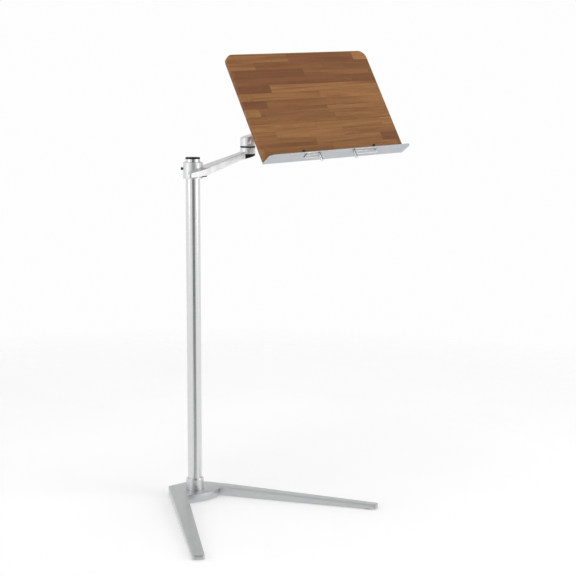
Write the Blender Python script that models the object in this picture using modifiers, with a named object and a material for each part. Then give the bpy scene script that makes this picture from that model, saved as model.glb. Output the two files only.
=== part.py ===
"""Adjustable floor stand for an open book: V base, pole, two jointed arms, tilting wooden board."""
import math

import bmesh
import bpy
from mathutils import Matrix, Vector

MM = 0.001
GAP = 0.3 * MM          # clearance left between neighbouring pieces
PHASE_STEP = 0.037      # each round cutter is turned a little further, so no facets line up

# ---- base: outline in plan, V opening towards -Y, origin on the pole axis --------------------
BASE_BOTTOM_Z = 1.5 * MM
BASE_TOP_Z = 18.0 * MM
BASE_BACK_Y = 52.0 * MM
BASE_BACK_HALF = 36.0 * MM
LEG_OUTER_TIP = (258.0 * MM, -327.5 * MM)
LEG_INNER_TIP = (237.5 * MM, -341.0 * MM)
LEG_INNER_ROOT = (46.0 * MM, -32.5 * MM)
HUB_FRONT_Y = -45.5 * MM
LEG_HEADING = math.radians(-60.0)
LEG_SLOPE_START = 58.0 * MM
LEG_SLOPE = math.radians(1.45)
BASE_EDGE_BEVEL = 1.2 * MM
PAD_RADIUS = 9.0 * MM
PAD_POCKET_TOP_Z = 3.6 * MM
PAD_PLACES = {"pad_tip_left": (-236.0, -319.0), "pad_tip_right": (236.0, -319.0),
              "pad_back_left": (-27.0, 39.0), "pad_back_right": (27.0, 39.0)}
BOLT_COVER_RADIUS = 12.0 * MM    # rubber disc that closes the bolt's counterbore

# ---- pole -------------------------------------------------------------------------------------
POLE_RADIUS = 16.0 * MM
POLE_INNER = 14.2 * MM
POLE_FOOT_Z = 13.3 * MM
POLE_TOP_Z = 761.0 * MM
CAP_TOP_Z = 765.0 * MM
SLEEVE_RADIUS = 19.9 * MM
SLEEVE_TOP_Z = 44.0 * MM
PLUG_TOP_Z = 42.0 * MM
BASE_BOLT_RADIUS = 4.0 * MM
BASE_BOLT_HEAD_RADIUS = 6.5 * MM
COUNTERBORE_RADIUS = 8.6 * MM
COUNTERBORE_TOP_Z = 9.6 * MM
BASE_BOLT_FOOT_Z = 4.2 * MM

# ---- arms: local frame has the root axis at the origin and the arm along +X --------------------
ARM_LENGTH = 148.0 * MM
ARM_RISE = 0.287                 # height gained per unit of length
ARM_WALL = 15.0 * MM             # height of the arm's side wall
ARM_END_RADIUS = 17.0 * MM
ARM_END_HUB = 14.0 * MM          # metal left in the end hub above the under-cover
ARM_END_STEP = 0.6 * MM          # the hub stands this far outside the sloping slab
ARM_END_PAD = 0.8 * MM           # and this far above it
ARM_SKIN = 2.6 * MM              # thickness of the arm's side walls
ARM_ROOF = 4.0 * MM              # thickness of the arm under its sloping top
ARM_NECK_HALF = 10.5 * MM
COLLAR_RADIUS = 21.5 * MM
COLLAR_BORE = 18.5 * MM
COLLAR_HEIGHT = 36.0 * MM
COLLAR_FOOT_Z = 718.5 * MM
LOWER_ROOT_X = 4.0 * MM          # centre of the round root that wraps the collar
LOWER_ROOT_RADIUS = 24.8 * MM
LOWER_ROOT_FLOOR = 6.0 * MM      # the root's underside is level here
LOWER_MOUTH_START = 24.0 * MM    # the hollow under the arm starts this far from the pole axis
BUSH_INNER = 16.3 * MM
BUSH_OUTER = 18.2 * MM
LOWER_TOP_AT_AXIS = 15.5 * MM    # height of the lower arm's sloping top on the pole axis
UPPER_TOP_AT_AXIS = 22.2 * MM    # the same on the elbow axis, above the upper arm's foot
WASHER_RADIUS = 17.2 * MM
WASHER_THICK = 2.4 * MM
PIVOT_BOLT_RADIUS = 4.0 * MM
PIVOT_HEAD_RADIUS = 7.0 * MM
PIVOT_HEAD_HEIGHT = 4.6 * MM
COVER_THICK = 3.0 * MM

# ---- the pose the stand is drawn in -------------------------------------------------------------
LOWER_HEADING = math.radians(-3.9)
UPPER_HEADING = math.radians(-13.2)
BOARD_YAW = math.radians(-7.2)
BOARD_TILT = math.radians(32.1)
BOARD_SPIN = math.radians(2.6)
COLLAR_SCREW_HEADING = math.radians(142.6)
COLLAR_SCREW_LEVEL = 21.5 * MM   # above the collar's foot

# ---- head ---------------------------------------------------------------------------------------
YOKE_BASE = 6.0 * MM
TILT_AXIS_ABOVE_YOKE_FOOT = 16.0 * MM
EAR_INNER = 7.4 * MM
EAR_OUTER = 11.9 * MM
EAR_RADIUS = 10.5 * MM
TONGUE_HALF = 6.0 * MM
TONGUE_RADIUS = 9.0 * MM
FLANGE_BACK = 18.3 * MM          # distances from the tilt axis along the board's normal
FLANGE_FRONT = 23.3 * MM
FLANGE_RADIUS = 24.0 * MM
SPIN_WASHER_BACK = 23.6 * MM
SPIN_WASHER_FRONT = 25.2 * MM
PLATE_BACK = 25.5 * MM
PLATE_FRONT = 28.5 * MM
PLATE_HALF = 42.0 * MM
BOARD_BACK = 28.8 * MM

# ---- board, ledge and page clips: u across, v up the board, n out of its face --------------------
BOARD_HALF = 196.5 * MM
BOARD_HEIGHT = 268.0 * MM
BOARD_THICK = 9.0 * MM
BOARD_TOP_CORNER = 19.0 * MM
BOARD_EDGE_BEVEL = 1.2 * MM
SPIN_AXIS_V = 151.0 * MM         # height of the spin axis above the board's bottom edge
LEDGE_DEPTH = 28.6 * MM
LEDGE_THICK = 2.0 * MM
LEDGE_FLANGE_THICK = 1.6 * MM
LEDGE_FLANGE_TOP = 24.0 * MM
LEDGE_CORNER = 10.0 * MM
CLIP_PIVOT_U = {-1: 62.0 * MM, 1: 34.0 * MM}
CLIP_PIVOT_N = 22.0 * MM
CLIP_REACH = {-1: 37.0 * MM, 1: 63.0 * MM}
CLIP_REST_ANGLE = {-1: math.radians(-6.0), 1: math.radians(-3.0)}
CLIP_SLOT_SWING = {-1: (math.radians(-24.0), math.radians(6.0)), 1: (math.radians(-14.0), math.radians(2.0))}
CLIP_SLOT_HALF = 2.3 * MM
CLIP_FINGER_RADIUS = 1.7 * MM
LEDGE_SCREW_U = (-160.0, -55.0, 55.0, 160.0)
PLATE_SCREW = 32.0 * MM


# ------------------------------------------------------------------------------------------------
# collections and materials
# ------------------------------------------------------------------------------------------------
def clear_scene():
    for obj in list(bpy.data.objects):
        bpy.data.objects.remove(obj, do_unlink=True)


def new_collection(name):
    coll = bpy.data.collections.new(name)
    bpy.context.scene.collection.children.link(coll)
    return coll


def material(name, color, roughness, metallic):
    mat = bpy.data.materials.new(name)
    mat.use_nodes = True
    shader = mat.node_tree.nodes["Principled BSDF"]
    shader.inputs["Base Color"].default_value = (*color, 1.0)
    shader.inputs["Roughness"].default_value = roughness
    shader.inputs["Metallic"].default_value = metallic
    return mat


clear_scene()
PARTS = new_collection("bible_stand")
CUTTERS = new_collection("cutters")
CUTTERS.hide_render = True
FINISHES = {
    "painted": ((0.62, 0.63, 0.64), 0.42, 0.35),
    "anodised": ((0.72, 0.73, 0.74), 0.32, 0.90),
    "cast": ((0.70, 0.71, 0.72), 0.38, 0.85),
    "steel": ((0.56, 0.57, 0.58), 0.30, 1.0),
    "chrome": ((0.80, 0.80, 0.80), 0.12, 1.0),
    "dark": ((0.05, 0.05, 0.055), 0.45, 0.2),
    "plastic": ((0.02, 0.02, 0.022), 0.50, 0.0),
    "rubber": ((0.03, 0.03, 0.03), 0.85, 0.0),
    "nylon": ((0.60, 0.60, 0.57), 0.55, 0.0),
    "walnut": ((0.33, 0.17, 0.09), 0.50, 0.0),
    "sheet": ((0.60, 0.62, 0.64), 0.40, 0.85),
}


# ------------------------------------------------------------------------------------------------
# modelling tools
# ------------------------------------------------------------------------------------------------
def add_object(name, mesh, finish=None, collection=None):
    obj = bpy.data.objects.new(name, mesh)
    (collection or PARTS).objects.link(obj)
    if finish:
        obj.data.materials.append(material(name, *FINISHES[finish]))
    return obj


def frame(name, location, matrix3=None):
    """An empty that carries a group of pieces."""
    empty = bpy.data.objects.new(name, None)
    PARTS.objects.link(empty)
    pose = (matrix3 or Matrix.Identity(3)).to_4x4()
    pose.translation = location
    empty.matrix_world = pose
    return empty


def hold(obj, parent):
    """Put a piece, and any of its cutters that is still loose, in a frame."""
    obj.parent = parent
    for modifier in obj.modifiers:
        if modifier.type == "BOOLEAN" and modifier.object.parent is None:
            hold(modifier.object, parent)
    return obj


def lathe(name, profile, finish=None, steps=32, closed=False, collection=None, phase=0.0):
    """A solid of revolution about Z; the profile is a list of (radius, z)."""
    mesh = bpy.data.meshes.new(name)
    count = len(profile)
    edges = [(i, i + 1) for i in range(count - 1)]
    if closed:
        edges.append((count - 1, 0))
    mesh.from_pydata([(r * math.cos(phase), r * math.sin(phase), z) for r, z in profile], edges, [])
    obj = add_object(name, mesh, finish, collection)
    screw = obj.modifiers.new("turn", "SCREW")
    screw.axis = "Z"
    screw.steps = steps
    screw.render_steps = steps
    screw.use_merge_vertices = True
    screw.merge_threshold = 0.00001
    screw.use_smooth_shade = True
    return obj


def rod_profile(radius, bottom, top, chamfer=0.0):
    """Outer side of a plain rod, top to bottom, with chamfered rims."""
    if chamfer <= 0.0:
        return [(0.0, top), (radius, top), (radius, bottom), (0.0, bottom)]
    return [(0.0, top), (radius - chamfer, top), (radius, top - chamfer),
            (radius, bottom + chamfer), (radius - chamfer, bottom), (0.0, bottom)]


def ring_profile(inner, outer, bottom, top, chamfer=0.0):
    if chamfer <= 0.0:
        return [(inner, top), (outer, top), (outer, bottom), (inner, bottom)]
    return [(inner, top), (outer - chamfer, top), (outer, top - chamfer),
            (outer, bottom + chamfer), (outer - chamfer, bottom), (inner, bottom)]


def mesh_of(obj, keep_name):
    """Replace a curve or modified object by its plain evaluated mesh, scaled and turned in place."""
    bpy.context.view_layer.update()
    graph = bpy.context.evaluated_depsgraph_get()
    mesh = bpy.data.meshes.new_from_object(obj.evaluated_get(graph))
    work = bmesh.new()
    work.from_mesh(mesh)
    bmesh.ops.remove_doubles(work, verts=work.verts, dist=0.000001)
    bmesh.ops.recalc_face_normals(work, faces=work.faces)
    work.to_mesh(mesh)
    work.free()
    mesh.transform(obj.matrix_world)
    bpy.data.objects.remove(obj, do_unlink=True)
    mesh.name = keep_name
    return mesh


def prism(name, outline, bottom, top, finish=None, holes=(), collection=None):
    """A flat outline in XY given thickness along Z."""
    curve = bpy.data.curves.new(name, "CURVE")
    curve.dimensions = "2D"
    curve.fill_mode = "BOTH"
    curve.extrude = (top - bottom) / 2.0
    for ring in [outline, *holes]:
        spline = curve.splines.new("POLY")
        spline.points.add(len(ring) - 1)
        for point, (x, y) in zip(spline.points, ring):
            point.co = (x, y, 0.0, 1.0)
        spline.use_cyclic_u = True
    obj = bpy.data.objects.new(name, curve)
    CUTTERS.objects.link(obj)
    obj.location.z = (top + bottom) / 2.0
    return add_object(name, mesh_of(obj, name), finish, collection)


def box(name, low, high, finish=None, collection=None):
    mesh = bpy.data.meshes.new(name)
    work = bmesh.new()
    bmesh.ops.create_cube(work, size=1.0)
    size = Vector(high) - Vector(low)
    middle = (Vector(high) + Vector(low)) / 2.0
    bmesh.ops.scale(work, vec=size, verts=work.verts)
    bmesh.ops.translate(work, vec=middle, verts=work.verts)
    work.to_mesh(mesh)
    work.free()
    return add_object(name, mesh, finish, collection)


def reshape(obj, matrix):
    """Apply a matrix to the mesh itself."""
    if obj.modifiers:
        name = obj.name
        finish = list(obj.data.materials)
        collection = obj.users_collection[0]
        mesh = mesh_of(obj, name)
        obj = bpy.data.objects.new(name, mesh)
        collection.objects.link(obj)
        if not obj.data.materials:
            for entry in finish:
                obj.data.materials.append(entry)
    obj.data.transform(matrix)
    return obj


def boolean(obj, tool, operation):
    """Join or cut with a tool that lives in the cutters collection."""
    tool.hide_render = True
    tool.display_type = "WIRE"
    modifier = obj.modifiers.new(operation.lower(), "BOOLEAN")
    modifier.operation = operation
    modifier.object = tool
    return obj


def cut(obj, *tools):
    for tool in tools:
        boolean(obj, tool, "DIFFERENCE")
    return obj


def join(obj, *tools):
    for tool in tools:
        boolean(obj, tool, "UNION")
    return obj


def bevel(obj, width, segments=2, angle=40.0):
    modifier = obj.modifiers.new("edges", "BEVEL")
    modifier.width = width
    modifier.segments = segments
    modifier.limit_method = "ANGLE"
    modifier.angle_limit = math.radians(angle)
    return obj


def cutter_lathe(name, profile, steps=24, closed=False):
    phase = PHASE_STEP * (1 + len(CUTTERS.objects) % 11)
    return lathe(name, profile, steps=steps, closed=closed, collection=CUTTERS, phase=phase)


def cutter_box(name, low, high):
    return box(name, low, high, collection=CUTTERS)


def arc(cx, cy, radius, start, end, count):
    """Points on an arc, angles in degrees, both ends included."""
    points = []
    for i in range(count + 1):
        angle = math.radians(start + (end - start) * i / count)
        points.append((cx + radius * math.cos(angle), cy + radius * math.sin(angle)))
    return points


def rounded(corners, radii, count=4):
    """A closed outline with each corner replaced by a tangent arc."""
    outline = []
    total = len(corners)
    for i, corner in enumerate(corners):
        here = Vector(corner)
        before = (Vector(corners[i - 1]) - here).normalized()
        after = (Vector(corners[(i + 1) % total]) - here).normalized()
        if radii[i] <= 0.0:
            outline.append(tuple(here))
            continue
        half = before.angle(after) / 2.0
        reach = radii[i] / math.tan(half)
        centre = here + (before + after).normalized() * radii[i] / math.sin(half)
        first = here + before * reach - centre
        sweep = first.angle_signed(here + after * reach - centre)
        for k in range(count + 1):
            turned = first.copy()
            turned.rotate(Matrix.Rotation(-sweep * k / count, 2))
            outline.append(tuple(centre + turned))
    return outline


def base_outline():
    """V-shaped plan: straight back, two tapering legs, shallow arc between them."""
    half_chord, chord_y = LEG_INNER_ROOT[0], LEG_INNER_ROOT[1]
    sag = chord_y - HUB_FRONT_Y
    radius = (half_chord ** 2 + sag ** 2) / (2.0 * sag)
    spread = math.degrees(math.asin(half_chord / radius))
    front = arc(0.0, HUB_FRONT_Y + radius, radius, 270.0 + spread, 270.0 - spread, 14)
    right = [(BASE_BACK_HALF, BASE_BACK_Y), LEG_OUTER_TIP, LEG_INNER_TIP]
    left = [(-x, y) for x, y in reversed(right)]
    corners = right + front + left
    radii = [5.0 * MM, 5.0 * MM, 5.0 * MM] + [0.0] * len(front) + [5.0 * MM, 5.0 * MM, 5.0 * MM]
    return rounded(corners, radii)


def leg_slope_cutter(side):
    """A slab lying on the plane in which a leg's top falls away."""
    tool = cutter_box("leg_slope_%s" % ("left" if side < 0 else "right"),
                      (LEG_SLOPE_START, -60.0 * MM, 0.0), (480.0 * MM, 60.0 * MM, 30.0 * MM))
    tool = reshape(tool, Matrix.Translation((-LEG_SLOPE_START, 0.0, 0.0)))
    tool = reshape(tool, Matrix.Rotation(LEG_SLOPE, 4, "Y"))
    tool = reshape(tool, Matrix.Translation((LEG_SLOPE_START, 0.0, BASE_TOP_Z)))
    heading = LEG_HEADING if side > 0 else math.pi - LEG_HEADING
    return reshape(tool, Matrix.Rotation(heading, 4, "Z"))


def build_base():
    base = prism("base_casting", base_outline(), BASE_BOTTOM_Z, BASE_TOP_Z, "painted")
    cut(base, leg_slope_cutter(1), leg_slope_cutter(-1))
    bevel(base, BASE_EDGE_BEVEL, segments=2, angle=25.0)
    socket = cutter_lathe("pole_socket", rod_profile(POLE_RADIUS + GAP, POLE_FOOT_Z - GAP, 30.0 * MM), 48)
    bolt_hole = cutter_lathe("base_bolt_hole", rod_profile(BASE_BOLT_RADIUS + GAP, -1.0 * MM, 20.0 * MM))
    counterbore = cutter_lathe("base_counterbore",
                               rod_profile(COUNTERBORE_RADIUS, -1.0 * MM, COUNTERBORE_TOP_Z))
    cut(base, socket, bolt_hole, counterbore)
    for name, (x, y) in PAD_PLACES.items():
        add_pad(base, name, PAD_RADIUS, (x * MM, y * MM, 0.0))
    add_pad(base, "base_bolt_cover", BOLT_COVER_RADIUS, (0.0, 0.0, 0.0))


def add_pad(base, name, radius, place):
    """A rubber disc let into the underside of the base."""
    pocket = cutter_lathe("%s_pocket" % name, rod_profile(radius + GAP, -1.0 * MM, PAD_POCKET_TOP_Z), 20)
    pocket.location = place
    cut(base, pocket)
    pad = lathe(name, rod_profile(radius, 0.0, PAD_POCKET_TOP_Z - GAP, 0.5 * MM), "rubber", steps=20)
    pad.location = place


def build_pole():
    lathe("pole_tube", ring_profile(POLE_INNER, POLE_RADIUS, POLE_FOOT_Z, POLE_TOP_Z),
          "anodised", steps=40, closed=True)
    lathe("pole_sleeve", [(POLE_RADIUS + GAP, SLEEVE_TOP_Z), (SLEEVE_RADIUS - 1.4 * MM, SLEEVE_TOP_Z),
                          (SLEEVE_RADIUS, SLEEVE_TOP_Z - 2.2 * MM), (SLEEVE_RADIUS, BASE_TOP_Z + GAP),
                          (POLE_RADIUS + GAP, BASE_TOP_Z + GAP)], "anodised", steps=40, closed=True)
    plug_radius = POLE_INNER - GAP
    lathe("pole_foot_plug", ring_profile(BASE_BOLT_RADIUS + GAP, plug_radius, POLE_FOOT_Z, PLUG_TOP_Z),
          "steel", steps=24, closed=True)
    cap = [(0.0, CAP_TOP_Z), (POLE_RADIUS - 0.8 * MM, CAP_TOP_Z), (POLE_RADIUS, CAP_TOP_Z - 0.8 * MM),
           (POLE_RADIUS, POLE_TOP_Z + GAP), (plug_radius, POLE_TOP_Z + GAP),
           (plug_radius, POLE_TOP_Z - 10.0 * MM), (0.0, POLE_TOP_Z - 10.0 * MM)]
    lathe("pole_cap", cap, "plastic", steps=32)
    washer_top = COUNTERBORE_TOP_Z - GAP
    washer_foot = washer_top - 1.4 * MM
    lathe("base_bolt_washer", ring_profile(BASE_BOLT_RADIUS + GAP, 8.2 * MM, washer_foot, washer_top),
          "steel", steps=24, closed=True)
    head_top = washer_foot - GAP
    bolt = lathe("base_bolt", [(0.0, 36.0 * MM), (BASE_BOLT_RADIUS - 0.6 * MM, 36.0 * MM),
                               (BASE_BOLT_RADIUS, 35.4 * MM), (BASE_BOLT_RADIUS, head_top),
                               (BASE_BOLT_HEAD_RADIUS, head_top),
                               (BASE_BOLT_HEAD_RADIUS, BASE_BOLT_FOOT_Z), (0.0, BASE_BOLT_FOOT_Z)],
                 "steel", steps=20)
    cut(bolt, cutter_lathe("base_bolt_key", rod_profile(2.9 * MM, 1.0 * MM, 6.2 * MM), steps=6))


# ------------------------------------------------------------------------------------------------
# arms
# ------------------------------------------------------------------------------------------------
def arm_outline(root_x, root_radius, inset=0.0):
    """Plan of an arm: round root, tapering sides, round end."""
    root = root_radius - inset
    end = ARM_END_RADIUS - ARM_END_STEP - inset
    neck = ARM_NECK_HALF - inset
    upper = arc(root_x, 0.0, root, 180.0, 76.0, 10)
    upper += [(ARM_LENGTH - 24.0 * MM, neck), (ARM_LENGTH - 18.5 * MM, neck + 0.9 * MM)]
    upper += arc(ARM_LENGTH, 0.0, end, 137.0, 0.0, 11)
    lower = [(x, -y) for x, y in reversed(upper[1:-1])]
    return upper + lower


def sheared(obj):
    """Lean a level slab so that it climbs along +X."""
    lean = Matrix.Identity(4)
    lean[2][0] = ARM_RISE
    return reshape(obj, lean)


def at_arm_end(tool):
    tool.location.x = ARM_LENGTH
    return tool


def end_hub_top(top_at_axis):
    """Level of the end hub's top, just above the sloping top at the hub's far side."""
    return top_at_axis + ARM_RISE * (ARM_LENGTH + ARM_END_RADIUS) + ARM_END_PAD


def end_room(name, hub_foot, extra):
    """Space below the end hub, reaching past the arm's end."""
    room = cutter_lathe("%s_end_room" % name,
                        rod_profile(ARM_END_RADIUS + 4.0 * MM + extra, hub_foot - 50.0 * MM, hub_foot), 28)
    room.location.x = ARM_LENGTH + 3.0 * MM
    return room


def build_arm(name, root_x, root_radius, top_at_axis, mouth_start, root_trim, root_solids, root_cuts):
    """A cast arm, open underneath; the slab is trimmed first, then the root solids join it."""
    outline = arm_outline(root_x, root_radius)
    casting = prism("%s_casting" % name, outline, top_at_axis - ARM_WALL, top_at_axis, "cast")
    casting = sheared(bevel(casting, 1.2 * MM, segments=1, angle=60.0))
    hub_top = end_hub_top(top_at_axis)
    hub_foot = hub_top - ARM_END_HUB
    end_hub = at_arm_end(cutter_lathe("%s_end_hub" % name,
                                      rod_profile(ARM_END_RADIUS, hub_foot - 4.0 * MM, hub_top, 0.6 * MM), 36))
    mouth = prism("%s_mouth" % name, arm_outline(root_x, root_radius, ARM_SKIN),
                  top_at_axis - ARM_WALL - 2.0 * MM, top_at_axis - ARM_ROOF, collection=CUTTERS)
    mouth = sheared(mouth)
    clear_root = cutter_lathe("%s_mouth_start" % name, rod_profile(mouth_start, -60.0 * MM, 90.0 * MM), 24)
    cut(mouth, clear_root)
    bore = at_arm_end(cutter_lathe("%s_bore" % name,
                                   rod_profile(PIVOT_BOLT_RADIUS + GAP, -10.0 * MM, 200.0 * MM), 20))
    cut(casting, *root_trim)
    join(casting, *root_solids, end_hub)
    cut(casting, mouth, end_room(name, hub_foot, 0.0), bore, *root_cuts)
    return casting, hub_foot, hub_top


def build_cover(name, root_x, root_radius, top_at_axis, mouth_start, hub_foot):
    """Black under-cover: a strip in the arm's mouth that thickens under the end hub."""
    foot = top_at_axis - ARM_WALL
    strip = sheared(prism("%s_cover" % name, arm_outline(root_x, root_radius, ARM_SKIN + GAP),
                          foot + 0.4 * MM, foot + 0.4 * MM + COVER_THICK, "plastic"))
    strip_start = cutter_lathe("%s_cover_start" % name,
                               rod_profile(mouth_start + GAP, -60.0 * MM, 90.0 * MM), 20)
    cut(strip, strip_start)
    boss = sheared(prism("%s_cover_boss" % name,
                         arc(ARM_LENGTH, 0.0, ARM_END_RADIUS - 0.2 * MM, 4.0, 364.0, 28)[:-1],
                         foot, foot + 30.0 * MM, collection=CUTTERS))
    boolean(boss, end_room("%s_cover" % name, hub_foot - GAP, -0.5 * MM), "INTERSECT")
    join(strip, boss)
    head_room = cutter_lathe("%s_cover_head_room" % name,
                             rod_profile(PIVOT_HEAD_RADIUS + 0.6 * MM,
                                         hub_foot - PIVOT_HEAD_HEIGHT - 1.2 * MM, hub_foot + 1.0 * MM), 22)
    cut(strip, at_arm_end(head_room))
    return strip


def build_pivot_bolt(name, parent, hub_foot, tip):
    """A socket bolt put in from under an end hub."""
    head_top = hub_foot - GAP
    head_foot = head_top - PIVOT_HEAD_HEIGHT
    radius = PIVOT_BOLT_RADIUS
    profile = [(0.0, tip), (radius - 0.5 * MM, tip), (radius, tip - 0.5 * MM), (radius, head_top),
               (PIVOT_HEAD_RADIUS, head_top), (PIVOT_HEAD_RADIUS, head_foot), (0.0, head_foot)]
    bolt = at_arm_end(lathe(name, profile, "steel", steps=24))
    key = cutter_lathe("%s_key" % name, rod_profile(2.6 * MM, head_foot - 1.0 * MM, head_foot + 2.6 * MM), 6)
    cut(bolt, at_arm_end(key))
    return hold(bolt, parent)


def build_arm_washer(name, parent, foot):
    top = foot + WASHER_THICK
    washer = lathe(name, ring_profile(6.0 * MM, WASHER_RADIUS, foot, top), "plastic", steps=36, closed=True)
    hold(at_arm_end(washer), parent)
    return top


def collar_solids():
    """Upright collar, and the fillet where the arm's top runs into it."""
    collar = cutter_lathe("collar_body", rod_profile(COLLAR_RADIUS, 0.0, COLLAR_HEIGHT, 0.6 * MM), 48)
    fillet = cutter_lathe("collar_fillet", [(0.0, 27.0 * MM), (20.8 * MM, 27.0 * MM), (21.7 * MM, 22.5 * MM),
                                            (22.6 * MM, 18.8 * MM), (24.0 * MM, 16.4 * MM),
                                            (24.9 * MM, 14.0 * MM), (0.0, 14.0 * MM)], 44)
    fillet = sheared(fillet)
    limit = prism("fillet_limit", arm_outline(LOWER_ROOT_X, LOWER_ROOT_RADIUS, 0.5 * MM), -10.0 * MM,
                  60.0 * MM, collection=CUTTERS)
    boolean(fillet, limit, "INTERSECT")
    return collar, fillet


def collar_cuts():
    """Bore for the liner bush and the threaded hole for the clamp screw."""
    bore = cutter_lathe("collar_bore", rod_profile(COLLAR_BORE, -5.0 * MM, 60.0 * MM), 46)
    hole = cutter_lathe("collar_screw_hole", rod_profile(2.3 * MM, 10.0 * MM, 30.0 * MM), 14)
    hole = reshape(hole, Matrix.Rotation(math.radians(90.0), 4, "Y"))
    hole = reshape(hole, Matrix.Translation((0.0, 0.0, COLLAR_SCREW_LEVEL)))
    hole = reshape(hole, Matrix.Rotation(COLLAR_SCREW_HEADING - LOWER_HEADING, 4, "Z"))
    return bore, hole


def cover_root_solids():
    """Level plate round the collar's foot and the step that ties it to the strip."""
    plate = prism("cover_root_plate", arm_outline(LOWER_ROOT_X, LOWER_ROOT_RADIUS, 1.0 * MM),
                  LOWER_ROOT_FLOOR - GAP - 2.0 * MM, LOWER_ROOT_FLOOR - GAP, collection=CUTTERS)
    keep = cutter_lathe("cover_root_keep", rod_profile(30.0 * MM, -20.0 * MM, 40.0 * MM), 20)
    boolean(plate, keep, "INTERSECT")
    step = prism("cover_root_step", arm_outline(LOWER_ROOT_X, LOWER_ROOT_RADIUS, ARM_SKIN + 2.0 * GAP),
                 LOWER_ROOT_FLOOR - 1.5 * MM, LOWER_ROOT_FLOOR + 3.0 * MM, collection=CUTTERS)
    keep_step = cutter_lathe("cover_step_keep", rod_profile(32.0 * MM, -20.0 * MM, 40.0 * MM), 18)
    boolean(step, keep_step, "INTERSECT")
    clear_step = cutter_lathe("cover_step_clear",
                              rod_profile(LOWER_MOUTH_START + GAP, -30.0 * MM, 50.0 * MM), 24)
    cut(step, clear_step)
    return plate, step


def build_lower_arm():
    carrier = frame("lower_arm_frame", (0.0, 0.0, COLLAR_FOOT_Z), Matrix.Rotation(LOWER_HEADING, 3, "Z"))
    floor = cutter_box("root_floor", (-60.0 * MM, -60.0 * MM, -60.0 * MM),
                       (60.0 * MM, 60.0 * MM, LOWER_ROOT_FLOOR))
    casting, hub_foot, hub_top = build_arm("lower_arm", LOWER_ROOT_X, LOWER_ROOT_RADIUS, LOWER_TOP_AT_AXIS,
                                           LOWER_MOUTH_START, [floor], collar_solids(), collar_cuts())
    hold(casting, carrier)
    cover = build_cover("lower_arm", LOWER_ROOT_X, LOWER_ROOT_RADIUS, LOWER_TOP_AT_AXIS,
                        LOWER_MOUTH_START, hub_foot)
    join(cover, *cover_root_solids())
    cut(cover, cutter_lathe("cover_collar_room", rod_profile(COLLAR_RADIUS + GAP, -40.0 * MM, 40.0 * MM), 32))
    hold(cover, carrier)
    washer_top = build_arm_washer("elbow_washer", carrier, hub_top + GAP)
    build_pivot_bolt("elbow_bolt", carrier, hub_foot, washer_top + GAP + 11.0 * MM)
    build_collar_bush()
    build_collar_screw()
    return carrier, washer_top + GAP


def build_collar_bush():
    """Split liner between the pole and the collar."""
    bush = lathe("collar_bush", ring_profile(BUSH_INNER, BUSH_OUTER, GAP, COLLAR_HEIGHT - GAP),
                 "nylon", steps=36, closed=True)
    slit = cutter_box("bush_slit", (10.0 * MM, -1.0 * MM, -5.0 * MM), (25.0 * MM, 1.0 * MM, 50.0 * MM))
    for piece in (bush, slit):
        piece.location.z = COLLAR_FOOT_Z
    cut(bush, slit)


def build_collar_screw():
    """Clamp screw in the collar's side; its own Z runs outwards along the screw."""
    outward = Vector((math.cos(COLLAR_SCREW_HEADING), math.sin(COLLAR_SCREW_HEADING), 0.0))
    turn = outward.to_track_quat("Z", "X").to_matrix()
    level = Vector((0.0, 0.0, COLLAR_FOOT_Z + COLLAR_SCREW_LEVEL))
    carrier = frame("collar_screw_frame", outward * COLLAR_RADIUS + level, turn)
    profile = [(0.0, 4.6 * MM), (2.7 * MM, 4.6 * MM), (3.1 * MM, 4.2 * MM), (3.1 * MM, 0.5 * MM),
               (2.0 * MM, 0.5 * MM), (2.0 * MM, -2.9 * MM), (0.0, -2.9 * MM)]
    screw = lathe("collar_screw", profile, "dark", steps=20)
    key = cutter_lathe("collar_screw_key", rod_profile(1.5 * MM, 2.4 * MM, 6.0 * MM), 6)
    hold(key, carrier)
    cut(screw, key)
    hold(screw, carrier)


def build_upper_arm(lower_carrier, foot_above_collar):
    bpy.context.view_layer.update()
    elbow = lower_carrier.matrix_world @ Vector((ARM_LENGTH, 0.0, foot_above_collar))
    carrier = frame("upper_arm_frame", elbow, Matrix.Rotation(UPPER_HEADING, 3, "Z"))
    root_hub = cutter_lathe("upper_root_hub", rod_profile(ARM_END_RADIUS - 0.15 * MM, 0.0, 12.0 * MM, 0.5 * MM),
                            40)
    blind = cutter_lathe("upper_root_bore", rod_profile(PIVOT_BOLT_RADIUS + GAP, -5.0 * MM, 11.6 * MM), 22)
    mouth_start = ARM_END_RADIUS + 2.0 * MM
    casting, hub_foot, hub_top = build_arm("upper_arm", 0.0, ARM_END_RADIUS, UPPER_TOP_AT_AXIS, mouth_start,
                                           [], [root_hub], [blind])
    hold(casting, carrier)
    cover = build_cover("upper_arm", 0.0, ARM_END_RADIUS, UPPER_TOP_AT_AXIS, mouth_start, hub_foot)
    hold(cover, carrier)
    washer_top = build_arm_washer("wrist_washer", carrier, hub_top + GAP)
    build_pivot_bolt("wrist_bolt", carrier, hub_foot, washer_top + GAP + YOKE_BASE - 0.4 * MM)
    return carrier, washer_top + GAP


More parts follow.
